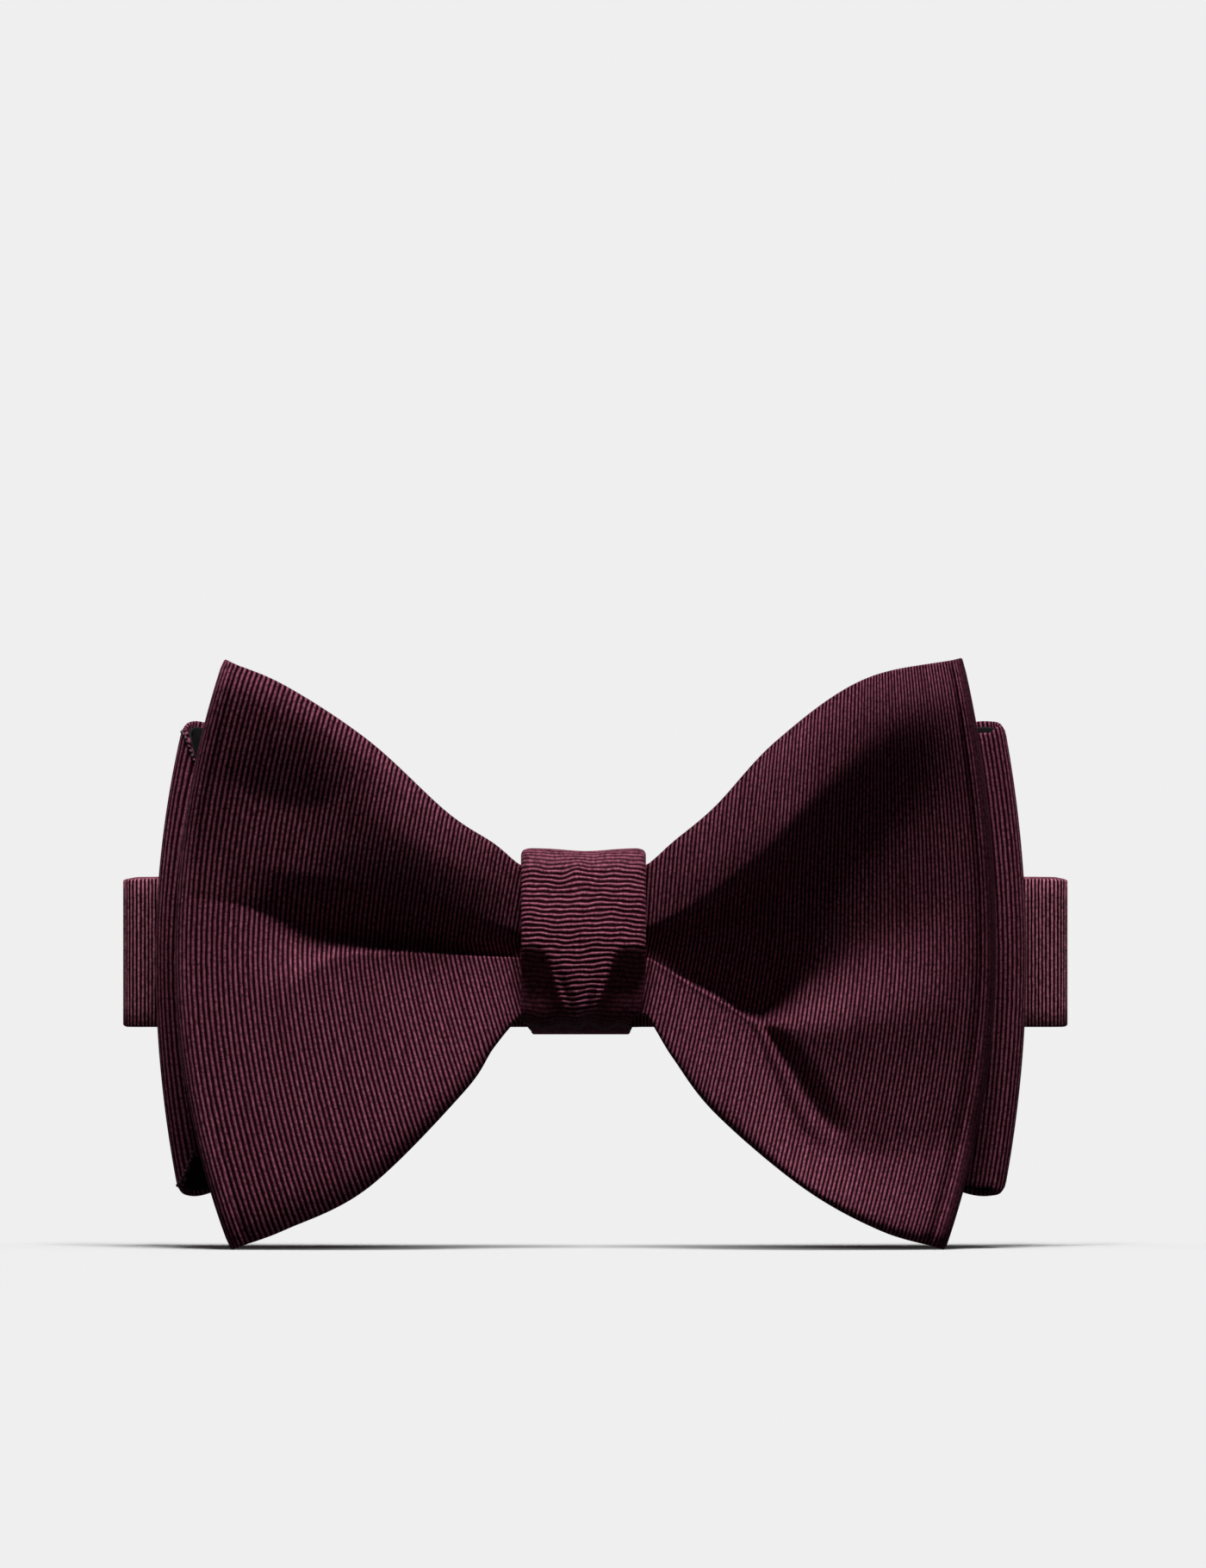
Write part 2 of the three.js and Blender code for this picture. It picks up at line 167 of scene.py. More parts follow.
def linear(hex_colour):
    """An sRGB hex colour as linear red, green, blue and alpha."""
    parts = [int(hex_colour[i:i + 2], 16) / 255 for i in (1, 3, 5)]
    return [c / 12.92 if c <= 0.04045 else ((c + 0.055) / 1.055) ** 2.4 for c in parts] + [1.0]


def new_material(name):
    material = bpy.data.materials.new(name)
    material.use_nodes = True
    material.node_tree.nodes.clear()
    return material


def node(tree, kind, settings=None, **inputs):
    """Adds a node: settings are its properties, inputs are values or the sockets that feed them."""
    made = tree.nodes.new(kind)
    for key, value in (settings or {}).items():
        setattr(made, key, value)
    for key, value in inputs.items():
        socket = made.inputs[int(key[1:])] if key[0] == "_" else made.inputs[key.replace("_", " ")]
        if isinstance(value, bpy.types.NodeSocket):
            tree.links.new(value, socket)
        else:
            socket.default_value = value
    return made


def maths(tree, operation, a, b=0.0):
    return node(tree, "ShaderNodeMath", {"operation": operation}, _0=a, _1=b).outputs[0]


def silk_faille(name, rib_colour, groove_shade_colour, worn_colour):
    """Ribbed silk faille: each rib is a round yarn with a satin gleam along it, and the gaps between
    ribs are painted nearly black, a painted shade in the grooves. The cloth attribute counts ribs in X,
    gives millimetres along them in Y, and in Z says how flat the iron has laid them."""
    material = new_material(name)
    tree = material.node_tree
    cloth = node(tree, "ShaderNodeAttribute", {"attribute_name": "cloth"}).outputs["Vector"]
    axes = node(tree, "ShaderNodeSeparateXYZ", _0=cloth)
    # The weft isn't perfectly straight: it wanders by up to a seventh of a rib.
    drift_place = node(tree, "ShaderNodeMapping", _0=cloth, Scale=(0.8, 0.5, 1.0)).outputs[0]
    drift = node(tree, "ShaderNodeTexNoise", _0=drift_place, Scale=1.0, Detail=2.0).outputs[0]
    wander = maths(tree, "MULTIPLY", maths(tree, "SUBTRACT", drift, 0.5), 0.3)
    strayed = maths(tree, "ADD", axes.outputs["X"], wander)
    turn = maths(tree, "MULTIPLY", strayed, 2 * math.pi)
    loomed = maths(tree, "MULTIPLY_ADD", maths(tree, "COSINE", turn), 0.5)
    loomed.node.inputs[2].default_value = 0.5
    # Z is 1 where the iron has laid the ribs flat, which also dulls them and paints them darker, a painted
    # shade that is strongest on the right wing's outer fold and the knot's falling facets.
    flat_rib_level_and_shade = maths(tree, "MULTIPLY_ADD", axes.outputs["Z"], -0.45)
    flat_rib_level_and_shade.node.inputs[2].default_value = 0.85
    wave = node(tree, "ShaderNodeMix", {"data_type": "FLOAT"}, _0=axes.outputs["Z"], _2=loomed,
                _3=flat_rib_level_and_shade).outputs[0]
    # Warp threads bind each rib about every 0.4 mm, which breaks its gleam into beads; the colour is
    # multiplied by 0.3 to 1.5 with them, painted highlight and painted shade specks.
    bead_place = node(tree, "ShaderNodeMapping", _0=cloth, Scale=(0.9, 1 / 0.42, 1.0)).outputs[0]
    beads = node(tree, "ShaderNodeTexNoise", _0=bead_place, Scale=1.0, Detail=2.0, Roughness=0.65).outputs[0]
    slub_place = node(tree, "ShaderNodeMapping", _0=cloth, Scale=(0.55, 0.06, 1.0)).outputs[0]
    slubs = node(tree, "ShaderNodeTexNoise", _0=slub_place, Scale=1.0, Detail=2.0).outputs[0]
    # Between the rib tops the colour falls to the nearly black gap colour, a painted shade in the grooves.
    unshaded_crown = node(tree, "ShaderNodeMapRange", {"interpolation_type": "SMOOTHSTEP"},
                 Value=wave, From_Min=0.28, From_Max=0.88).outputs[0]
    shade = node(tree, "ShaderNodeMapRange", Value=beads, From_Min=0.3, From_Max=0.7,
                 To_Min=0.3, To_Max=1.5).outputs[0]
    worn = node(tree, "ShaderNodeMapRange", Value=slubs, From_Min=0.45, From_Max=0.75).outputs[0]
    ribs = node(tree, "ShaderNodeMix", {"data_type": "RGBA"}, Factor=worn, _6=linear(rib_colour),
                _7=linear(worn_colour)).outputs[2]
    colour = node(tree, "ShaderNodeMix", {"data_type": "RGBA"}, Factor=unshaded_crown, _6=linear(groove_shade_colour),
                  _7=ribs).outputs[2]
    beaded = node(tree, "ShaderNodeMix", {"data_type": "RGBA", "blend_type": "MULTIPLY"}, Factor=1.0,
                  _6=colour, _7=shade).outputs[2]
    height = maths(tree, "ADD", maths(tree, "MULTIPLY", wave, 0.7), maths(tree, "MULTIPLY", beads, 0.5))
    bump = node(tree, "ShaderNodeBump", Strength=0.8, Distance=0.00007, Height=height).outputs[0]
    rough = node(tree, "ShaderNodeMapRange", Value=wave, To_Min=0.75, To_Max=0.42).outputs[0]
    shader = node(tree, "ShaderNodeBsdfPrincipled", Base_Color=beaded, Roughness=rough, Normal=bump)
    shader.inputs["IOR"].default_value = 1.53
    shader.inputs["Specular IOR Level"].default_value = 0.35
    shader.inputs["Specular Tint"].default_value = linear("#b05070")
    shader.inputs["Sheen Weight"].default_value = 0.08
    shader.inputs["Sheen Tint"].default_value = linear("#c06a88")
    shader.inputs["Sheen Roughness"].default_value = 0.4
    node(tree, "ShaderNodeOutputMaterial", Surface=shader.outputs[0])
    return material


def canvas_interlining(name):
    """Black woven wool canvas: a matt, coarse open weave with threads about 1.6 mm apart."""
    material = new_material(name)
    tree = material.node_tree
    place = node(tree, "ShaderNodeTexCoord").outputs["Object"]
    thread_step = 0.5 / 0.32 * MM
    waves = [node(tree, "ShaderNodeTexWave", {"bands_direction": way}, _0=place,
                  Scale=math.pi / 10 / thread_step, Distortion=1.2, Detail=2.0).outputs[1]
             for way in ("X", "Z")]
    weave = maths(tree, "MULTIPLY", *waves)
    grain = node(tree, "ShaderNodeTexNoise", _0=place, Scale=900.0, Detail=3.0).outputs[0]
    tone = maths(tree, "ADD", maths(tree, "MULTIPLY", weave, 0.7), maths(tree, "MULTIPLY", grain, 0.3))
    colour = node(tree, "ShaderNodeMix", {"data_type": "RGBA"}, Factor=tone, _6=linear("#080607"),
                  _7=linear("#1b1619")).outputs[2]
    bump = node(tree, "ShaderNodeBump", Strength=0.6, Distance=0.0001, Height=tone).outputs[0]
    shader = node(tree, "ShaderNodeBsdfPrincipled", Base_Color=colour, Roughness=0.95, Normal=bump)
    node(tree, "ShaderNodeOutputMaterial", Surface=shader.outputs[0])
    return material


def twisted_thread(name, light, dark):
    """Polyester sewing thread: two plies twisted together, with a slight gleam."""
    material = new_material(name)
    tree = material.node_tree
    place = node(tree, "ShaderNodeTexCoord").outputs["Object"]
    twist = node(tree, "ShaderNodeTexWave", {"bands_direction": "DIAGONAL"}, _0=place, Scale=900.0,
                 Distortion=0.6).outputs[1]
    # The twist is painted as diagonal light and dark bands, a painted shade in the grooves between the plies.
    colour = node(tree, "ShaderNodeMix", {"data_type": "RGBA"}, Factor=twist, _6=linear(dark),
                  _7=linear(light)).outputs[2]
    bump = node(tree, "ShaderNodeBump", Strength=0.7, Distance=0.00005, Height=twist).outputs[0]
    shader = node(tree, "ShaderNodeBsdfPrincipled", Base_Color=colour, Roughness=0.5, Normal=bump)
    node(tree, "ShaderNodeOutputMaterial", Surface=shader.outputs[0])
    return material


def nickel_plate(name):
    """Stamped steel with satin nickel plate: fine tumbling scratches and slightly duller patches."""
    material = new_material(name)
    tree = material.node_tree
    place = node(tree, "ShaderNodeTexCoord").outputs["Object"]
    stretched = node(tree, "ShaderNodeMapping", _0=place, Scale=(1.0, 1.0, 9.0)).outputs[0]
    scratches = node(tree, "ShaderNodeTexNoise", _0=stretched, Scale=2600.0, Detail=4.0).outputs[0]
    patches = node(tree, "ShaderNodeTexNoise", _0=place, Scale=240.0, Detail=3.0).outputs[0]
    rough = node(tree, "ShaderNodeMapRange", Value=patches, From_Min=0.3, From_Max=0.7, To_Min=0.2,
                 To_Max=0.36).outputs[0]
    colour = node(tree, "ShaderNodeMix", {"data_type": "RGBA"}, Factor=patches, _6=linear("#b7b1a6"),
                  _7=linear("#d2cdc4")).outputs[2]
    bump = node(tree, "ShaderNodeBump", Strength=0.25, Distance=0.00002, Height=scratches).outputs[0]
    shader = node(tree, "ShaderNodeBsdfPrincipled", Base_Color=colour, Metallic=1.0, Roughness=rough,
                  Normal=bump)
    node(tree, "ShaderNodeOutputMaterial", Surface=shader.outputs[0])
    return material


def gathered_silk(name):
    """The wings' silk where it is crushed into fine vertical pleats at the waist."""
    material = new_material(name)
    tree = material.node_tree
    place = node(tree, "ShaderNodeTexCoord").outputs["Object"]
    pleats = node(tree, "ShaderNodeTexWave", {"bands_direction": "Y"}, _0=place, Scale=math.pi / 10 / 0.0012,
                  Distortion=3.0, Detail=2.0, Detail_Scale=1.5).outputs[1]
    # The pleats are painted dark in their folds and light on their ridges, a painted shade.
    colour = node(tree, "ShaderNodeMix", {"data_type": "RGBA"}, Factor=pleats, _6=linear("#1c040d"),
                  _7=linear("#6e3348")).outputs[2]
    bump = node(tree, "ShaderNodeBump", Strength=0.8, Distance=0.0003, Height=pleats).outputs[0]
    shader = node(tree, "ShaderNodeBsdfPrincipled", Base_Color=colour, Roughness=0.6, Normal=bump)
    node(tree, "ShaderNodeOutputMaterial", Surface=shader.outputs[0])
    return material


# Each faille's second colour is the near-black painted shade between its ribs.
WING_SILK = silk_faille("silk_faille_wings", "#a45f76", "#22010b", "#8c4c62")
KNOT_SILK = silk_faille("silk_faille_knot", "#b0667e", "#28020d", "#9a546c")
BAND_SILK = silk_faille("silk_faille_neckband", "#e48ca4", "#100004", "#c0748c")
GATHERED_SILK = gathered_silk("silk_faille_gathered")
CANVAS = canvas_interlining("wool_canvas_interlining")
THREAD = twisted_thread("polyester_sewing_thread", "#6f3b50", "#2a0f1a")
NICKEL = nickel_plate("nickel_plated_steel")


# ---------------------------------------------------------------- wings

KNOT_LOW, KNOT_HIGH = [np.array(c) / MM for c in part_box("knot_band")]
KNOT_X = (KNOT_LOW[0] + KNOT_HIGH[0]) / 2
MIDDLE_START = 7.2
FOLD_RADIUS = 2.2

# How a wing's swell rises from its crease (0) to its edge (1), as a share of the whole swell: above and
# below the crease near the knot, and on both sides of it towards the outer fold.
LOBE_ABOVE = curve_through([(0, 0), (0.2, 0.2), (0.45, 0.72), (0.66, 1.0), (0.8, 0.98), (0.92, 0.86),
                            (1, 0.64)])
LOBE_BELOW = curve_through([(0, 0), (0.2, 0.2), (0.5, 0.58), (0.8, 0.94), (0.9, 1.0), (0.97, 0.93),
                            (1, 0.76)])
LOBE_BY_EDGE = curve_through([(0, 0), (0.2, 0.07), (0.5, 0.42), (0.8, 0.88), (0.92, 1.0), (1, 0.86)])


def left_front_relief(out, z, line):
    """The pinch that runs out from the knot: a long slope facing down, then a crisp lower lip."""
    relief = groove(line, out, z, depth=(1.0, 3.2, 5.2, 5.6, 3.8, 0.9, 0), soft=(3, 5, 6.5, 7.5, 7, 5.5, 4),
                    crisp=(0.15, 0.15, 0.2, 2.5, 9, 10, 8))
    upper_hollow = [(30, 24), (36, 20), (43, 21), (49, 25)]
    relief += groove(upper_hollow, out, z, depth=(0, 0.7, 0.7, 0), soft=(6, 8, 8, 6), crisp=(6, 8, 8, 6))
    return relief


def right_front_relief(out, z, line):
    """A broad valley opening outwards from the knot, under a ridge that follows the top edge and over
    a crisp lower lobe, and a dimple that runs on down from the valley's end."""
    ridge = curve_through([(6, 2.8), (12, 5.4), (16, 7.8), (24, 14), (30, 21), (36, 27), (46, 34.5),
                           (60, 38)])
    below_ridge = np.interp(out, ridge[:, 0], ridge[:, 1]) - z
    slope = smooth(below_ridge / np.interp(out, [6, 14, 24, 36, 50], [3.5, 6.5, 10, 14, 17]))
    lip_line = curve_through(line[:5] + [(34, -10.5), (46, -9), (60, -9)])
    above_lip = z - np.interp(out, lip_line[:, 0], lip_line[:, 1])
    lip = smooth(above_lip / np.interp(out, [6, 20, 24, 29, 38, 48], [0.3, 0.3, 1.6, 8, 13, 16]))
    depth = np.interp(out, [6, 12, 20, 30, 38, 46, 53], [1.0, 5.2, 8.6, 7.6, 5.2, 2.8, 0.0])
    dimple = groove(line[4:8], out, z, depth=(1.4, 2.2, 1.8, 0.0), soft=(1.5, 2.8, 3.0, 2.5),
                    crisp=(0.8, 1.6, 2.4, 3))
    return dimple - depth * slope * lip


def flat_relief(out, z, line):
    return 0.0 * out


# The outer fold's flattening also paints that fold darker, a painted shade; the right wing's fold gets the
# most.
WINGS = {
    "front_left": {
        "side": -1,
        "top": [(6, 11.2), (8.6, 12), (12, 14.8), (18.3, 19), (28.8, 28.6), (40, 36), (48.3, 39.5)],
        "bottom": [(6, -8), (8.6, -8.7), (12, -12.6), (16, -18.5), (28.8, -31.3), (40, -37), (47.4, -39.7)],
        "crease": [(6, -0.6), (14, -0.3), (21, 0.2), (32, 2.0), (38, 3.8), (46, 6.5), (56, 8)],
        "lean": {"up": (1.5, 3.0, 4.9, 6.6), "down": (1.8, 5.2, 7.0, 7.5)},
        "opening": (0, 0), "corner": 0.0, "edge_roll": 0.3, "ironed_flat_and_shade": 0.4, "fan": 0.14,
        "reach": 54.9, "front": (13.4, 15.8), "back": (10.3, 11.4), "puff": 5.0, "flare": (5.2, 4.6),
        "back_swell": 0.0, "relief": left_front_relief, "rib": LEFT_WING_RIB, "shows": "front",
    },
    "front_right": {
        "side": 1,
        "top": [(6, 11.2), (8.6, 12), (12, 15), (17.7, 19.8), (25.9, 28.6), (37.5, 36.8), (50.9, 39.7)],
        "bottom": [(6, -8), (8.6, -8.7), (12, -14), (17.7, -21.4), (29.4, -31.3), (39.8, -37.1),
                   (48.6, -39.7)],
        "crease": [(6, -0.8), (9, -0.9), (14, -3.8), (19, -6.6), (24.0, -9.4), (27.6, -14.5), (32, -21.5),
                   (36, -25), (46, -25), (56, -22)],
        "lean": {"up": (-0.6, -2.2, -0.8, 4.6), "down": (1.8, 4.8, 6.0, 6.9)},
        "opening": (0, 0), "corner": 0.0, "edge_roll": 1.3, "ironed_flat_and_shade": 0.9, "fan": 0.0,
        "reach": 55.5, "front": (13.4, 15.8), "back": (10.3, 11.4), "puff": 6.2, "flare": (7.0, 3.6),
        "back_swell": 0.0, "relief": right_front_relief, "rib": RIGHT_WING_RIB, "shows": "front",
    },
    "rear_left": {
        "side": -1,
        "top": [(6, 10.6), (8.6, 11), (22, 16), (38, 26), (50, 30.8), (54, 31.2)],
        "bottom": [(6, -8), (8.6, -8.6), (22, -15), (38, -26.5), (50, -32.2), (54.6, -32.6)],
        "crease": [(6, 0), (56, 0)],
        "lean": {"up": (0, 1.0, 2.2, 3.6), "down": (0, 1.0, 2.0, 3.0)},
        "opening": (6.0, 5.4), "corner": 0.9, "edge_roll": 0.0, "ironed_flat_and_shade": 0.0, "fan": 0.0,
        "reach": 57.6, "front": (9.9, 10.6), "back": (6.8, 6.2), "puff": 0.0, "flare": (0, 0),
        "back_swell": 2.4, "relief": flat_relief, "rib": LEFT_WING_RIB, "shows": "back",
    },
    "rear_right": {
        "side": 1,
        "top": [(6, 10.6), (8.6, 11), (22, 16), (38, 26), (51, 30.8), (56.7, 31.2)],
        "bottom": [(6, -8), (8.6, -8.6), (22, -15), (38, -26.5), (51, -32.2), (56.7, -32.6)],
        "crease": [(6, 0), (56, 0)],
        "lean": {"up": (0, 0.8, 1.8, 2.9), "down": (0, 0.8, 1.8, 2.9)},
        "opening": (1.6, 1.2), "corner": 0.9, "edge_roll": 0.0, "ironed_flat_and_shade": 0.0, "fan": 0.0,
        "reach": 59.6, "front": (9.9, 10.6), "back": (6.8, 6.2), "puff": 0.0, "flare": (0, 0),
        "back_swell": 2.4, "relief": flat_relief, "rib": LEFT_WING_RIB, "shows": "back",
    },
}


def wing_skin(wing, columns, face, thickness, trim=0.0, ribbed=False):
    """The closed skin of one cloth of a wing's loop, as points [along the loop, around the cloth].
    columns holds (share out from the waist, angle round the outer fold) pairs; face is how deep the
    cloth lies under the wing's surface. Rows crowd towards the crease, to keep it crisp."""
    top = curve_through(wing["top"])
    bottom = curve_through(wing["bottom"])
    crease = curve_through(wing["crease"])
    share, angle = np.array(columns).T
    half_rows = ROWS_ACROSS // 2
    bend = np.linspace(0, math.pi, 7)[1:-1]
    row = np.concatenate([np.linspace(-1, 1, ROWS_ACROSS), np.ones(5), np.linspace(1, -1, half_rows),
                          -np.ones(5)])
    depth = np.concatenate([np.zeros(ROWS_ACROSS), (1 - np.cos(bend)) / 2, np.ones(half_rows),
                            (1 + np.cos(bend)) / 2])
    bulge = np.concatenate([np.zeros(ROWS_ACROSS), np.sin(bend), np.zeros(half_rows), -np.sin(bend)])
    share, angle = share[:, None], angle[:, None]
    row, depth, bulge = row[None, :], depth[None, :], bulge[None, :]

    fold = FOLD_RADIUS / (wing["reach"] - MIDDLE_START)
    flat = share * (1 - fold) + fold * np.sin(angle) * (angle > 0)
    nominal = MIDDLE_START + (wing["reach"] - MIDDLE_START) * flat
    stops = [0, 0.3, 0.6, 1]
    lean_up = np.interp(flat, stops, wing["lean"]["up"])
    lean_down = np.interp(flat, stops, wing["lean"]["down"])
    high = np.interp(nominal - lean_up, top[:, 0], top[:, 1])
    low = np.interp(nominal - lean_down, bottom[:, 0], bottom[:, 1])
    corner = wing["corner"] * np.sin(angle) ** 6
    high, low = high - corner, low + corner
    gape = smooth((share - 0.5) / 0.3) * np.where(angle < math.pi / 2, 1 - np.sin(angle), 0)
    high = high - wing["opening"][0] * gape
    low = low + wing["opening"][1] * gape
    pinch = np.where(angle == math.pi, smooth((share - 0.4) / 0.6), 1.0)
    heart = (2 * (np.interp(nominal, crease[:, 0], crease[:, 1]) - low) / (high - low) - 1) * pinch
    from_crease = np.abs(row) ** (1 + 0.6 * pinch)
    across = np.where(row > 0, heart + (1 - heart) * from_crease, heart - (1 + heart) * from_crease)
    up = (across + 1) / 2
    bow = np.abs(across) ** (1.05 + 0.95 * flat ** 1.5)
    out = nominal - np.where(across > 0, lean_up, lean_down) * bow
    z = low + (high - low) * up

    by_edge = smooth((flat - 0.35) / 0.4)
    above = np.interp(from_crease, LOBE_ABOVE[:, 0], LOBE_ABOVE[:, 1])
    below = np.interp(from_crease, LOBE_BELOW[:, 0], LOBE_BELOW[:, 1])
    outside = np.interp(from_crease, LOBE_BY_EDGE[:, 0], LOBE_BY_EDGE[:, 1])
    lobe = (1 - by_edge) * np.where(row > 0, above, below) + by_edge * outside
    flare = np.where(row > 0, *wing["flare"]) * lobe
    back = wing["back"][0] + (wing["back"][1] - wing["back"][0]) * share
    back = back - wing["back_swell"] * np.sin(math.pi * share) + flare * share ** 2
    front = wing["front"][0] + (wing["front"][1] - wing["front"][0]) * share
    front = front + wing["puff"] * np.sin(math.pi * share) + flare * smooth(share / 0.5) ** 0.7
    front = front + wing["relief"](out, z, wing["crease"])
    front = np.maximum(front, back + 2 * PLY + 0.15)
    from_edge = (1 - share) * (wing["reach"] - MIDDLE_START)
    front = front - (wing["shows"] == "front") * 0.1 * np.exp(-((from_edge - 0.5) / 0.22) ** 2)
    front = front - wing["edge_roll"] * np.clip(1 - from_edge / 2.0, 0, 1) ** 2 * (angle == 0)
    middle = (wing["front"][1] + wing["back"][1]) / 2 + flare
    on_fold = (angle > 0) & (angle < math.pi)
    y = np.where(angle == 0, front, back)
    y = np.where(on_fold, middle + FOLD_RADIUS * np.cos(angle), y)

    into_x, into_y = -np.sin(angle), -np.cos(angle)
    sunk = face + depth * thickness
    count = rib_count(wing, share, angle)
    # The fold's ribs lie flat here, and the faille paints them darker, a painted shade.
    ironed_flat_and_shade = wing["ironed_flat_and_shade"] * smooth((angle - 0.2) / 0.3) * (angle < math.pi)
    lift = RIB_HEIGHT / 2 * np.cos(2 * math.pi * count) * (depth == 0) * (1 - ironed_flat_and_shade) if ribbed else 0.0
    x = out + into_x * (sunk - lift)
    y = y + into_y * (sunk - lift)
    z = z + bulge * thickness / 2 - np.sign(row) * (np.abs(row) == 1) * (thickness / 2 + trim)
    grid = np.stack(np.broadcast_arrays(KNOT_X + wing["side"] * x, -y, z), axis=-1)
    cloth = np.stack(np.broadcast_arrays(count + 0 * row, z, ironed_flat_and_shade + 0 * row), axis=-1)
    return grid, cloth


def rib_count(wing, share, angle):
    """How many ribs the cloth has from the waist to a point of the loop."""
    length = wing["reach"] - MIDDLE_START - FOLD_RADIUS
    run = length * ((1 + wing["fan"]) * share - wing["fan"] * share ** 2)
    turn = FOLD_RADIUS * angle
    return np.where(angle == math.pi, 2 * length - run + turn, run + turn) / wing["rib"]


def loop_columns(wing, front, back, fold):
    """Columns along the front ply, round the outer fold and back along the rear ply, evenly by rib."""
    even = np.linspace(0, 1, 400)
    spread = (1 + wing["fan"]) * even - wing["fan"] * even ** 2
    columns = [(s, 0.0) for s in np.interp(np.linspace(0, 1, front), spread, even)]
    columns += [(1.0, a) for a in np.linspace(0, math.pi, fold + 2)[1:-1]]
    columns += [(s, math.pi) for s in np.interp(np.linspace(1, 0, back), spread, even)]
    return columns


def make_wing(place):
    wing = WINGS[place]
    length = wing["reach"] - MIDDLE_START - FOLD_RADIUS
    fine = int(round(length / wing["rib"] * STEPS_A_RIB)) + 1
    coarse = 46
    front, back = (fine, coarse) if wing["shows"] == "front" else (fine // 2, fine)
    columns = loop_columns(wing, front, back, 40)
    grid, cloth = wing_skin(wing, columns, 0.0, SILK, ribbed=True)
    silk = mesh_from_grid(f"{place}_wing_silk", grid, WING_SILK, cloth=cloth)
    grid, cloth = wing_skin(wing, columns, CANVAS_FACE, INTERLINING, trim=0.8)
    canvas = mesh_from_grid(f"{place}_wing_canvas", grid, CANVAS, cloth=cloth)
    smooth_grid, _ = wing_skin(wing, columns, 0.0, SILK)
    silk_rides(silk, f"{place}_wing", "bow")
    silk_rides(canvas, f"{place}_interlining", "bow")


def silk_rides(obj, cad_node, body):
    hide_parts(cad_node)
    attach(obj, body)


for place in WINGS:
    make_wing(place)


# ---------------------------------------------------------------- knot

KNOT_TOP = KNOT_HIGH[2]
KNOT_BOTTOM = KNOT_LOW[2]
TUNNEL_TOP = 11.1
KNOT_HALF = (KNOT_HIGH[0] - KNOT_LOW[0]) / 2
KNOT_SILK_THICKNESS = 0.7
KNOT_LINING_MARGIN = 1.6


def rounded_path(corners, step=0.1):
    """Points every step along a closed polygon whose corners, (y, z, radius), are rounded."""
    points = []
    count = len(corners)
    for i, (y, z, radius) in enumerate(corners):
        here = np.array([y, z])
        before = np.array(corners[i - 1][:2]) - here
        after = np.array(corners[(i + 1) % count][:2]) - here
        start = here + before / np.linalg.norm(before) * radius
        end = here + after / np.linalg.norm(after) * radius
        t = np.linspace(0, 1, 16)[:, None]
        points.append((1 - t) ** 2 * start + 2 * t * (1 - t) * here + t ** 2 * end)
    points = np.vstack(points + [points[0][:1]])
    keep = np.r_[True, np.linalg.norm(np.diff(points, axis=0), axis=1) > 1e-6]
    return spaced(points[keep], step)


def spaced(points, step):
    """The same line with its points a step apart, and how far along each one is."""
    length = np.r_[0, np.cumsum(np.linalg.norm(np.diff(points, axis=0), axis=1))]
    at = np.linspace(0, length[-1], int(round(length[-1] / step)) + 1)
    return np.stack([np.interp(at, length, axis) for axis in points.T], axis=1), at


TUNNEL_BOTTOM = -10.9
KNOT_CORNERS = [
    (0, TUNNEL_BOTTOM, 0.5), (0, TUNNEL_TOP, 0.6), (-3.4, TUNNEL_TOP, 0.5), (-6.5, KNOT_TOP, 0.8),
    (-15.0, KNOT_TOP + 0.1, 3.0), (-19.6, 2.5, 6.0), (-18.6, KNOT_BOTTOM + 1.3, 3.0),
    (-9.0, TUNNEL_BOTTOM + 0.3, 1.5), (-3.6, TUNNEL_BOTTOM, 0.6),
]


def knot_facet(x, z, soft):
    """0 on the knot's face, rising to 1 on the facets that fall back on each side of its pleats."""
    brow = 1.6 - 8.4 * np.exp(-(((x - KNOT_X) / KNOT_HALF + 0.04) / 0.46) ** 4)
    return smooth((brow - z) / soft)


def knot_relief(x, z):
    """Pleats gathered to a point under the knot's middle, with a facet that falls back on each side."""
    facet = -3.0 * knot_facet(x, z, 4.5) * (0.82 + 0.18 * np.abs(x - KNOT_X) / KNOT_HALF)
    left_pleat = [(KNOT_X - 0.6, -10.6), (KNOT_X - 1.8, -6.5), (KNOT_X - 3.4, -2.8), (KNOT_X - 5.5, 0.2)]
    right_pleat = [(KNOT_X + 0.6, -10.6), (KNOT_X + 1.2, -7.2), (KNOT_X + 1.8, -4.6), (KNOT_X + 2.4, -2.0)]
    pleats = groove(left_pleat, x, z, depth=(0.7, 0.9, 0.5, 0.0), soft=(0.8, 1.4, 1.6, 2),
                    crisp=(0.8, 1.2, 1.6, 2))
    pleats += groove(right_pleat, x, z, depth=(0.7, 0.8, 0.4, 0.0), soft=(0.8, 1.2, 1.4, 1.6),
                     crisp=(0.7, 1, 1.2, 1.6))
    lumps = 0.12 * np.sin(0.9 * x + 0.35 * z + 1.0) * np.sin(0.5 * z - 0.6 * x)
    dent = -0.3 * np.exp(-((x + 1.6) / 0.8) ** 2 - ((z - 10.8) / 2.4) ** 2)
    return facet + pleats + lumps + dent


def knot_hem(x, z):
    """The lumpy lower edge: how far up it is drawn, where the pleats meet it."""
    lift = 0.15 + 0.25 * np.sin(1.35 * x + 0.6) + 0.45 * np.exp(-((x - KNOT_X - 0.4) / 0.9) ** 2)
    return lift * smooth((-6 - z) / 4)


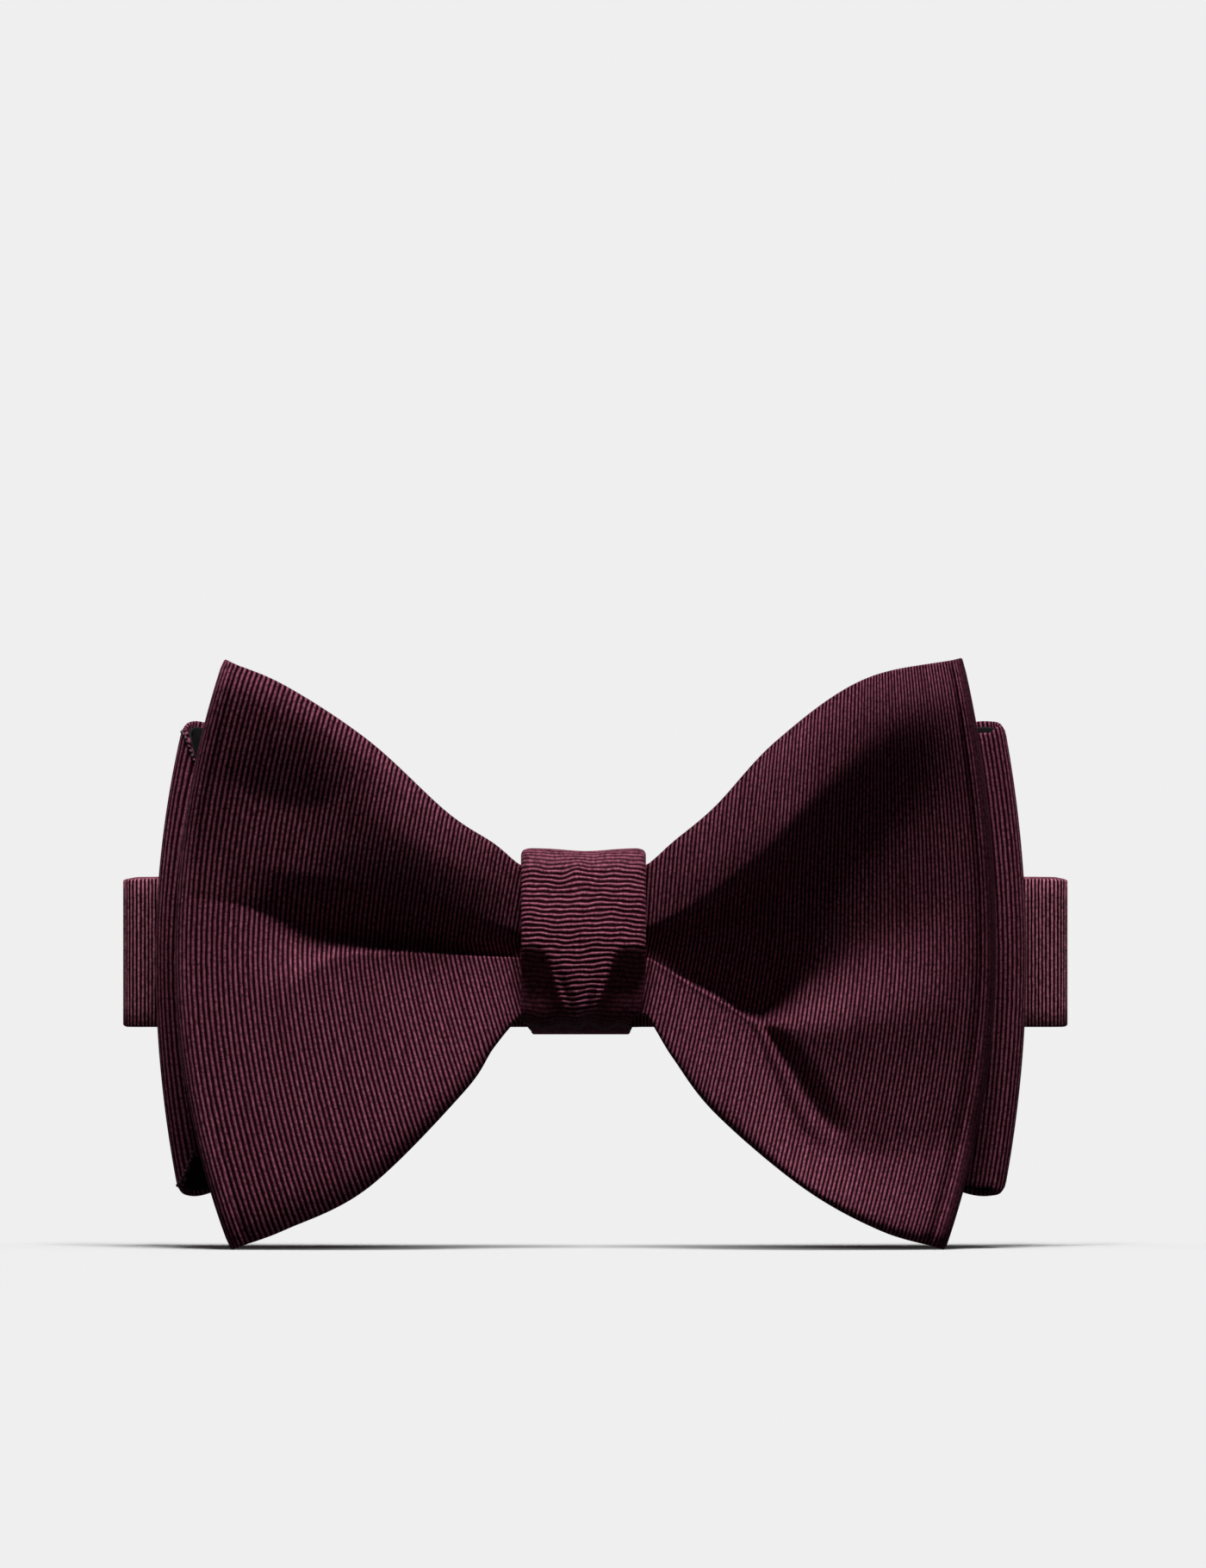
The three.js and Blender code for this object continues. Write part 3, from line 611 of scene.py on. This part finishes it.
def knot_skin(path, at, columns, inset, half, ribbed, closed=True):
    """The skin of the knot's wrap as points [round the knot, around the ply]."""
    tangent = np.gradient(path, axis=0)
    if closed:
        tangent[0] = tangent[-1] = path[1] - path[-2]
    tangent /= np.linalg.norm(tangent, axis=1)[:, None]
    inward = np.stack([-tangent[:, 1], tangent[:, 0]], axis=1)
    if closed:
        path, at, inward = path[:-1], at[:-1], inward[:-1]
    ply = KNOT_SILK_THICKNESS
    edge = np.linspace(0, math.pi, 7)[1:-1]
    across = np.concatenate([np.linspace(-1, 1, columns), np.ones(5), np.linspace(1, -1, columns // 3),
                             -np.ones(5)])
    depth = np.concatenate([np.zeros(columns), (1 - np.cos(edge)) / 2, np.ones(columns // 3),
                            (1 + np.cos(edge)) / 2])
    swell = np.concatenate([np.zeros(columns), np.sin(edge), np.zeros(columns // 3), np.sin(edge)])
    x = KNOT_X + across * (half - ply / 2 + inset) + np.sign(across) * swell * (ply / 2 - inset)
    x = x[None, :] + 0 * at[:, None]
    y0, z0 = path[:, :1] + 0 * x, path[:, 1:] + 0 * x
    on_front = smooth((-y0 - 6.0) / 8.0)
    wave = 0.5 * np.exp(-((x + 1.8) / 1.6) ** 2) * smooth((z0 - 5) / 6) + 0.16 * np.sin(0.55 * x + 0.4)
    wave = wave + 0.07 * np.sin(1.1 * x + 0.9 * z0) + 0.05 * np.sin(2.3 * x - 1.3 * z0 + 2)
    count = (at[:, None] + wave * on_front) / KNOT_RIB
    roll = 0.75 * (1 - np.sqrt(1 - np.clip((np.abs(x - KNOT_X) - half + 1.5) / 1.56, 0, 0.999) ** 2))
    roll = roll * smooth((-y0 - 3.0) / 4.0)
    sag = knot_relief(x, z0) * on_front
    # The knot's ribs lie flat on its top and its falling facets, and the faille paints the facets darker, a
    # painted shade.
    ironed_flat_and_shade = np.maximum(0.65 * smooth((z0 - 10.4) / 2.2), 0.85 * knot_facet(x, z0, 2.0)) * on_front
    rib = RIB_HEIGHT / 2 * np.cos(2 * math.pi * count)
    lift = rib * (depth == 0)[None, :] * (1 - ironed_flat_and_shade) if ribbed else 0
    sunk = inset + depth[None, :] * (ply - 2 * inset) + roll - lift
    y = y0 + inward[:, :1] * sunk - sag
    z = z0 + inward[:, 1:] * sunk + knot_hem(x, z0) * on_front
    right = -0.09 * smooth((-2 - z0) / 8) - 0.22 * smooth((-7.5 - z0) / 3.5)
    left = 0.05 * smooth((-5 - z0) / 3) - 0.1 * smooth((-9.2 - z0) / 1.2)
    left_behind = -0.16 * smooth((-8.8 - z0) / 2.1)
    narrow = 1 + on_front * np.where(x > KNOT_X, right, left)
    behind = np.where(x > KNOT_X, 0.8 * right, left_behind) * smooth((-8.6 - z0) / 1.2)
    narrow = narrow + (1 - on_front) * behind
    z = z - 0.4 * np.exp(-((x + 0.6) / 4.0) ** 2) * smooth((z0 - 11) / 3)
    x = KNOT_X + (x - KNOT_X) * narrow
    grid = np.stack([x, y, z], axis=-1)
    cloth = np.stack([count, x, ironed_flat_and_shade], axis=-1)
    return grid, cloth


def make_knot():
    path, at = rounded_path(KNOT_CORNERS, KNOT_RIB / 6)
    grid, cloth = knot_skin(path, at, 56, 0.0, KNOT_HALF, True)
    wrap = mesh_from_grid("knot_wrap_silk", grid, KNOT_SILK, closed_along=True, cloth=cloth)
    silk_rides(wrap, "knot_band", "bow")
    front = (path[:, 0] < -7.5)
    inner = path[front]
    start = int(np.argmax(np.linalg.norm(np.diff(inner, axis=0), axis=1))) + 1
    inner = np.roll(inner, -start, axis=0)
    lining, far = spaced(inner, 0.5)
    grid, cloth = knot_skin(lining, far, 20, 0.0, KNOT_HALF - KNOT_LINING_MARGIN, False, closed=False)
    shift = KNOT_SILK_THICKNESS + 0.25
    normal = np.cross(np.gradient(grid, axis=0), [1.0, 0, 0])
    normal /= np.linalg.norm(normal, axis=-1)[..., None]
    centre = np.array([KNOT_X, -9.0, 1.5])
    normal *= np.sign(np.einsum("ijk,ijk->ij", normal, centre - grid))[..., None]
    grid = grid + normal * shift
    canvas = mesh_from_grid("knot_canvas", grid, CANVAS, cloth=cloth)
    silk_rides(canvas, "knot_interlining", "bow")


make_knot()


# ---------------------------------------------------------------- neckband

FRONT_LOW, FRONT_HIGH = [np.array(c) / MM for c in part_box("neckband_front")]
BAND_HEIGHT = FRONT_HIGH[2] - FRONT_LOW[2]
BAND_THICKNESS = 1.2
BAND_X = (FRONT_LOW[0] + FRONT_HIGH[0]) / 2
BAND_HALF_SPREAD = (FRONT_HIGH[0] - FRONT_LOW[0] - BAND_THICKNESS) / 2
FRONT_Y = FRONT_LOW[1] + BAND_THICKNESS / 2
REAR_Y = 87.0
FRONT_CORNER = 2.4
REAR_CORNER = 31.4
STRAP_FOLD = 1.5
STRAP_LAYER = BAND_THICKNESS + 0.3
BAR_REACH = 2.4
TURNED_END = 5.2
TAIL_X = 30
HOOK_BAR_X = 2.0
RING_BAR_X = 20.1


def arc(cx, cy, radius, start, end, count):
    turn = np.radians(np.linspace(start, end, count))
    return np.stack([cx + radius * np.cos(turn), cy + radius * np.sin(turn)], axis=1)


def strap_route(side, fold, closed, tail):
    """The strap's middle line in plan, from the middle of the bow to its turned end. It is drawn
    for the left side; places run from the middle of the band, away from the strap's own side."""
    edge = -BAND_HALF_SPREAD
    fold, closed, tail = side * fold, side * closed, side * tail
    rear = REAR_Y - REAR_CORNER
    parts = [
        [(-0.05, FRONT_Y)],
        arc(edge + FRONT_CORNER, FRONT_Y + FRONT_CORNER, FRONT_CORNER, 270, 180, 24),
        arc(edge + REAR_CORNER, rear, REAR_CORNER, 180, 90, 60),
        [(fold, REAR_Y)],
        arc(fold, REAR_Y + STRAP_FOLD, STRAP_FOLD, -90, 90, 24),
        [(fold - BAR_REACH, REAR_Y + 2 * STRAP_FOLD), (closed, REAR_Y + STRAP_LAYER),
         (tail, REAR_Y + STRAP_LAYER)],
    ]
    line, at = spaced(np.vstack(parts), 0.05)
    kernel = np.ones(13) / 13
    for axis in (0, 1):
        line[6:-6, axis] = np.convolve(line[:, axis], kernel, "valid")
    line[:, 0] *= side
    line[:, 0] += BAND_X
    return line, at


def strap_skin(line, at, columns, thickness, height, rib):
    """A strap's skin along a plan line: its two faces, and rounded folds at its upper and lower edge."""
    where = np.linspace(0, at[-1], columns)
    x, y = np.interp(where, at, line[:, 0]), np.interp(where, at, line[:, 1])
    tangent = np.stack([np.gradient(x), np.gradient(y)], axis=1)
    tangent /= np.linalg.norm(tangent, axis=1)[:, None]
    normal = np.stack([-tangent[:, 1], tangent[:, 0]], axis=1)
    half = thickness / 2
    edge = np.linspace(0, math.pi, 7)[1:-1]
    rows = np.linspace(-1, 1, 9)
    hem = half / 2
    reach = height / 2 - hem
    z = np.concatenate([rows * reach, reach + hem * np.sin(edge), -rows * reach, -reach - hem * np.sin(edge)])
    off = np.concatenate([np.full(9, half), half * np.cos(edge), np.full(9, -half), -half * np.cos(edge)])
    z, off = z[None, :], off[None, :]
    count = where[:, None] / rib
    lift = RIB_HEIGHT / 2 * np.cos(2 * math.pi * count) * (np.abs(off) >= half * 0.99)
    off = off + np.sign(off) * lift - np.sign(off) * RIB_HEIGHT / 2
    grid = np.stack([x[:, None] + normal[:, :1] * off, y[:, None] + normal[:, 1:] * off,
                     z + 0 * count], axis=-1)
    cloth = np.stack([count + 0 * z, z + 0 * count, 0 * off], axis=-1)
    return grid, cloth


def make_strap(name, side, node_name, fold, closed, tail):
    line, at = strap_route(side, fold, closed, tail)
    columns = int(at[-1] / BAND_RIB * STEPS_A_RIB)
    grid, cloth = strap_skin(line, at, columns, BAND_THICKNESS, BAND_HEIGHT, BAND_RIB)
    strap = mesh_from_grid(name, grid, BAND_SILK, cloth=cloth)
    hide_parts(node_name, "neckband_front")
    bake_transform(strap)


hook_fold = HOOK_BAR_X - BAND_X + 0.6
ring_fold = RING_BAR_X - BAND_X - 0.4
make_strap("neckband_left_silk", 1, "neckband_left", hook_fold, hook_fold - TURNED_END, -TAIL_X)
make_strap("neckband_right_silk", -1, "neckband_right", ring_fold, ring_fold + TURNED_END,
           TAIL_X)


# ---------------------------------------------------------------- metal

def round_metal(name, cad_node, body, edge):
    """The CAD shape with its stamped edges rounded over."""
    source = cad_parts[cad_node]
    mesh = source.data.copy()
    obj = bpy.data.objects.new(name, mesh)
    bpy.context.scene.collection.objects.link(obj)
    tool = bmesh.new()
    tool.from_mesh(mesh)
    bmesh.ops.remove_doubles(tool, verts=tool.verts, dist=1e-6)
    bmesh.ops.dissolve_limit(tool, angle_limit=math.radians(1), verts=tool.verts, edges=tool.edges)
    bmesh.ops.recalc_face_normals(tool, faces=tool.faces)
    tool.to_mesh(mesh)
    tool.free()
    bevel = obj.modifiers.new("edges", "BEVEL")
    bevel.width = edge
    bevel.segments = 3
    bevel.limit_method = "ANGLE"
    bevel.angle_limit = math.radians(40)
    bevel.harden_normals = False
    finished = as_plain_mesh(obj)
    for polygon in finished.data.polygons:
        polygon.use_smooth = True
    finished.data.materials.clear()
    finished.data.materials.append(NICKEL)
    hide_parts(cad_node)
    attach(finished, body)


def as_plain_mesh(obj):
    """The object with its modifiers baked into its mesh."""
    graph = bpy.context.evaluated_depsgraph_get()
    mesh = bpy.data.meshes.new_from_object(obj.evaluated_get(graph))
    obj.modifiers.clear()
    obj.data = mesh
    return obj


round_metal("hook_metal", "hook", "hook", 0.00022)
round_metal("eye_ring_metal", "eye_ring", "ring", 0.00022)
round_metal("slider_metal", "slider", "slider", 0.0002)


# ---------------------------------------------------------------- carried-over CAD pieces

def finish_cad(cad_node, material):
    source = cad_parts[cad_node]
    source.data.materials.clear()
    source.data.materials.append(material)


finish_cad("gathered_waist", GATHERED_SILK)
finish_cad("waist_binding", THREAD)


# ---------------------------------------------------------------- stitches

def stitch_tree():
    """Geometry Nodes: stitches laid on a line of points, each a small thread bead turned to the line."""
    tree = bpy.data.node_groups.new("stitch_row", "GeometryNodeTree")
    face = tree.interface
    face.new_socket("Geometry", in_out="INPUT", socket_type="NodeSocketGeometry")
    for label, kind in (("Spacing", "NodeSocketFloat"), ("Length", "NodeSocketFloat"),
                        ("Thickness", "NodeSocketFloat"), ("Turn", "NodeSocketVector"),
                        ("Thread", "NodeSocketMaterial"), ("Seed", "NodeSocketInt")):
        face.new_socket(label, in_out="INPUT", socket_type=kind)
    face.new_socket("Geometry", in_out="OUTPUT", socket_type="NodeSocketGeometry")
    given = tree.nodes.new("NodeGroupInput").outputs
    to_curve = node(tree, "GeometryNodeMeshToCurve", _0=given["Geometry"])
    points = node(tree, "GeometryNodeCurveToPoints", {"mode": "LENGTH"}, Curve=to_curve.outputs[0],
                  Length=given["Spacing"])
    bead = node(tree, "GeometryNodeMeshUVSphere", Segments=8, Rings=6, Radius=0.5)
    size = node(tree, "ShaderNodeCombineXYZ", X=given["Length"], Y=given["Thickness"], Z=given["Thickness"])
    shaped = node(tree, "GeometryNodeTransform", Geometry=bead.outputs["Mesh"], Scale=size.outputs[0])
    uneven = node(tree, "FunctionNodeRandomValue", {"data_type": "FLOAT_VECTOR"}, Min=(0, -0.1, -0.1),
                  Max=(0, 0.1, 0.1), Seed=given["Seed"])
    turn = node(tree, "ShaderNodeVectorMath", {"operation": "ADD"}, _0=given["Turn"], _1=uneven.outputs[0])
    facing = node(tree, "FunctionNodeEulerToRotation", _0=turn.outputs[0])
    placed = node(tree, "GeometryNodeInstanceOnPoints", Points=points.outputs["Points"],
                  Instance=shaped.outputs[0], Rotation=facing.outputs[0])
    real = node(tree, "GeometryNodeRealizeInstances", _0=placed.outputs[0])
    coloured = node(tree, "GeometryNodeSetMaterial", _0=real.outputs[0], Material=given["Thread"])
    result = tree.nodes.new("NodeGroupOutput")
    tree.links.new(coloured.outputs[0], result.inputs[0])
    return tree


STITCHES = stitch_tree()


def stitch_row(name, line, spacing, length, thickness, turn, seed, body, cad_node=None):
    """Stitches along a line of points in millimetres, finished as one mesh on a body."""
    mesh = bpy.data.meshes.new(name)
    mesh.from_pydata([[c * MM for c in p] for p in line], [(i, i + 1) for i in range(len(line) - 1)], [])
    obj = bpy.data.objects.new(name, mesh)
    bpy.context.scene.collection.objects.link(obj)
    sewing = obj.modifiers.new("sewing", "NODES")
    sewing.node_group = STITCHES
    values = {"Spacing": spacing * MM, "Length": length * MM, "Thickness": thickness * MM, "Turn": turn,
              "Thread": THREAD, "Seed": seed}
    for item in STITCHES.interface.items_tree:
        if item.in_out == "INPUT" and item.name in values:
            sewing[item.identifier] = values[item.name]
    as_plain_mesh(obj)
    for polygon in obj.data.polygons:
        polygon.use_smooth = True
    if cad_node:
        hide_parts(cad_node)
    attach(obj, body)


def box_in_mm(cad_node):
    low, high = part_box(cad_node)
    return np.array(low) / MM, np.array(high) / MM


def bar_tack(cad_node, body, seed):
    low, high = box_in_mm(cad_node)
    middle = (low + high) / 2
    line = [(middle[0], low[1] - 0.05, low[2] + 0.2), (middle[0], low[1] - 0.05, high[2] - 0.2)]
    stitch_row(f"{cad_node}_thread", line, 0.36, high[0] - low[0], 0.34, (0, 0.12, 0), seed, body, cad_node)


bar_tack("ring_bar_tack", "right_arm", 3)
bar_tack("tail_bar_tack", "left_arm", 5)


def rim_stitches(name, place, edge, seed):
    """The hand stitches along the slanting rim where a rear loop's front ply is drawn back."""
    wing = WINGS[place]
    columns = [(1.0, a) for a in np.linspace(0, 1.3, 14)]
    grid, _ = wing_skin(wing, columns, -0.05, SILK)
    line = grid[:, ROWS_ACROSS - 1] if edge > 0 else grid[:, 0]
    line = line - np.array([0, 0.05, 0.25 * edge])
    stitch_row(name, line.tolist(), 0.62, 0.75, 0.5, (0, 0.9 * edge, 0), seed, "bow")


rim_stitches("rear_left_upper_rim_thread", "rear_left", 1, 11)
rim_stitches("rear_left_lower_rim_thread", "rear_left", -1, 13)

low, high = box_in_mm("knot_closing_stitches")
seam_y = (low[1] + high[1]) / 2
seam_z = KNOT_BOTTOM + 0.85
stitch_row("knot_closing_thread", [(low[0], seam_y, seam_z), (high[0], seam_y, seam_z)], 0.9, 1.5, 0.26,
           (0, 0, 1.1), 7, "bow", "knot_closing_stitches")


# ---------------------------------------------------------------- stage, light and camera

def studio_paint(name, colour, near_colour):
    """Matt studio paint. Where the bow tie's two tips touch it, it takes the lamp's light and shadow;
    further away it glows evenly instead, as a well-lit sweep does, so the ground reads as one tone."""
    material = new_material(name)
    tree = material.node_tree
    place = node(tree, "ShaderNodeTexCoord").outputs["Object"]
    axes = node(tree, "ShaderNodeSeparateXYZ", _0=place)
    tip_x = 0.048
    aside = maths(tree, "SUBTRACT", maths(tree, "ABSOLUTE", axes.outputs["X"]), tip_x)
    behind = maths(tree, "MULTIPLY", axes.outputs["Y"], 1.6)
    flat = node(tree, "ShaderNodeCombineXYZ", X=aside, Y=behind)
    far = node(tree, "ShaderNodeVectorMath", {"operation": "LENGTH"}, _0=flat.outputs[0]).outputs["Value"]
    even = node(tree, "ShaderNodeMapRange", {"interpolation_type": "SMOOTHSTEP"}, Value=far, From_Min=0.012,
                From_Max=0.07).outputs[0]
    paint = node(tree, "ShaderNodeMix", {"data_type": "RGBA"}, Factor=even, _6=linear(near_colour),
                 _7=linear("#000000")).outputs[2]
    shader = node(tree, "ShaderNodeBsdfPrincipled", Base_Color=paint, Roughness=0.9)
    shader.inputs["Specular IOR Level"].default_value = 0.0
    shader.inputs["Emission Color"].default_value = linear(colour)
    tree.links.new(even, shader.inputs["Emission Strength"])
    node(tree, "ShaderNodeOutputMaterial", Surface=shader.outputs[0])
    return material


def make_sweep(floor):
    """A round studio: a wide floor that curves up into a wall on every side."""
    wall, radius, top = 16.0, 4.0, 14.0
    bend = [(wall - radius + radius * math.sin(a), floor + radius - radius * math.cos(a))
            for a in np.linspace(0, math.pi / 2, 24)]
    profile = [(0.2, floor)] + bend + [(wall, floor + top)]
    around = 96
    turns = np.linspace(0, 2 * math.pi, around, endpoint=False)
    points = [(r * math.cos(a), r * math.sin(a), z) for r, z in profile for a in turns]
    faces = [tuple(range(around))]
    for i in range(len(profile) - 1):
        for j in range(around):
            k = (j + 1) % around
            faces.append((i * around + j, (i + 1) * around + j, (i + 1) * around + k, i * around + k))
    mesh = bpy.data.meshes.new("studio_sweep")
    mesh.from_pydata(points, [], faces)
    mesh.polygons.foreach_set("use_smooth", [True] * len(faces))
    mesh.materials.append(studio_paint("matt_studio_paint", "#efefef", "#f4f4f4"))
    obj = bpy.data.objects.new("studio_sweep", mesh)
    bpy.context.scene.collection.objects.link(obj)
    obj.visible_diffuse = False
    obj.visible_glossy = False


def soft_light(name, place, target, size, power):
    lamp = bpy.data.lights.new(name, "AREA")
    lamp.shape = "RECTANGLE"
    lamp.size, lamp.size_y = size
    lamp.energy = power
    obj = bpy.data.objects.new(name, lamp)
    obj.location = place
    aim = Vector(target) - Vector(place)
    obj.rotation_euler = aim.to_track_quat("-Z", "Y").to_euler()
    bpy.context.scene.collection.objects.link(obj)


def make_camera(centre, distance, frame_height):
    lens = bpy.data.cameras.new("camera")
    lens.sensor_width = 36
    lens.lens = 36 * distance / frame_height
    lens.clip_start, lens.clip_end = 0.1, 60
    camera = bpy.data.objects.new("camera", lens)
    camera.location = (centre[0], -distance, centre[1])
    camera.rotation_euler = (math.pi / 2, 0, 0)
    bpy.context.scene.collection.objects.link(camera)
    bpy.context.scene.camera = camera


floor_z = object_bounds()[0].z
make_sweep(floor_z)
soft_light("key", (0.04, -0.46, 1.36), (0, 0, 0), (0.6, 0.42), 21)
soft_light("fill", (0.5, -1.8, 0.5), (0, 0, 0), (1.2, 1.2), 0.45)
world = bpy.data.worlds.new("studio")
world.use_nodes = True
world.node_tree.nodes["Background"].inputs["Color"].default_value = (1, 1, 1, 1)
world.node_tree.nodes["Background"].inputs["Strength"].default_value = 0.032
bpy.context.scene.world = world
picture_centre = (0.00163, 0.0228)
camera_distance = 3.0
picture_height = 0.2117
make_camera(picture_centre, camera_distance, picture_height)
bpy.context.scene.view_settings.view_transform = "Standard"
